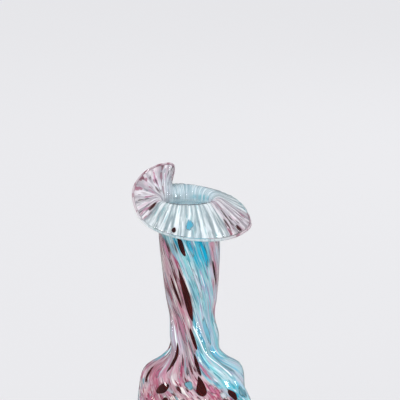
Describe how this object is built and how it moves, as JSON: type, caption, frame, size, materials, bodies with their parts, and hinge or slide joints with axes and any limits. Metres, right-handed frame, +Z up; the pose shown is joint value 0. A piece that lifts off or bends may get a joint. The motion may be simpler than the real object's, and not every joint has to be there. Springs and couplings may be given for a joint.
{
  "type": "glass vase",
  "caption": "Jack-in-the-pulpit vase of twisted, lobed spatter glass: bulb body, long neck, and a wide folded lip drawn up into a tongue at the back left.",
  "frame": {"origin": "middle of the flat ground base, on the surface that the vase stands on", "axes": "+Z up the vase; -Y is the front, with the lip's low side; +X is right, seen from the front"},
  "size_m": [0.0889, 0.085, 0.2146],
  "materials": {
    "casing": "clear, fire-polished",
    "lining": "clear, clouded by fine pink, white and turquoise flecks",
    "oxblood": "opaque dark red",
    "turquoise": "opaque turquoise",
    "pink": "opaque rose pink",
    "white": "opaque white"
  },
  "bodies": {
    "root": {"inner_lining": "lining", "outer_casing": "casing", "oxblood_chip_01": "oxblood", "oxblood_chip_02": "oxblood", "oxblood_chip_03": "oxblood", "oxblood_chip_04": "oxblood", "oxblood_chip_05": "oxblood", "oxblood_chip_06": "oxblood", "oxblood_chip_07": "oxblood", "oxblood_chip_08": "oxblood", "oxblood_chip_09": "oxblood", "oxblood_chip_10": "oxblood", "oxblood_chip_11": "oxblood", "oxblood_chip_12": "oxblood", "oxblood_chip_13": "oxblood", "oxblood_chip_14": "oxblood", "oxblood_chip_15": "oxblood", "oxblood_chip_16": "oxblood", "oxblood_chip_17": "oxblood", "oxblood_chip_18": "oxblood", "oxblood_chip_19": "oxblood", "oxblood_chip_20": "oxblood", "oxblood_chip_21": "oxblood", "pink_chip_01": "pink", "pink_chip_02": "pink", "pink_chip_03": "pink", "pink_chip_04": "pink", "pink_chip_05": "pink", "pink_chip_06": "pink", "pink_chip_07": "pink", "pink_chip_08": "pink", "pink_chip_09": "pink", "pink_chip_10": "pink", "pink_chip_11": "pink", "pink_chip_12": "pink", "pink_chip_13": "pink", "turquoise_chip_01": "turquoise", "turquoise_chip_02": "turquoise", "turquoise_chip_03": "turquoise", "turquoise_chip_04": "turquoise", "turquoise_chip_05": "turquoise", "turquoise_chip_06": "turquoise", "turquoise_chip_07": "turquoise", "turquoise_chip_08": "turquoise", "turquoise_chip_09": "turquoise", "turquoise_chip_10": "turquoise", "turquoise_chip_11": "turquoise", "turquoise_chip_12": "turquoise", "turquoise_chip_13": "turquoise", "white_chip_01": "white", "white_chip_02": "white", "white_chip_03": "white", "white_chip_04": "white", "white_chip_05": "white", "white_chip_06": "white", "white_chip_07": "white"}
  },
  "joints": []
}
